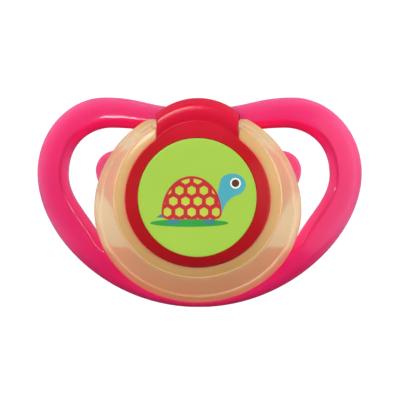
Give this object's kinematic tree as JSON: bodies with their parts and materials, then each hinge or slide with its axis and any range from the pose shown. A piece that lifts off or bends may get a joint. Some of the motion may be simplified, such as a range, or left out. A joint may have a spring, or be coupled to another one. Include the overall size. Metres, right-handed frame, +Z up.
{
  "type": "pacifier",
  "caption": "Pacifier with a heart-shaped vented shield, a round front cover, a hinged ring handle and a hollow silicone teat.",
  "frame": {"origin": "centre of the round label's front face", "axes": "+X to the right across the shield, +Y from the label back towards the teat's tip, +Z up towards the ring's hinge"},
  "size_m": [0.064, 0.0343, 0.0411],
  "materials": {
    "shield_pink": "glossy opaque pink polypropylene",
    "cover_red": "glossy opaque red polypropylene",
    "label_print": "smooth printed lime green plastic",
    "ring_amber": "see-through milky amber plastic",
    "plug_white": "plain white polypropylene",
    "teat_silicone": "clear silicone, soft and slightly milky"
  },
  "bodies": {
    "root": {"shield": "shield_pink", "front_cover": "cover_red", "label_disc": "label_print", "teat_plug": "plug_white", "teat": "teat_silicone"},
    "handle": {"ring_handle": "ring_amber"}
  },
  "joints": [
    {"name": "handle_flip", "type": "hinge", "parent": "root", "child": "handle", "pos_m": [0, 0.003, 0.0139], "axis": [-1, 0, 0], "range_deg": [0, 180]}
  ]
}
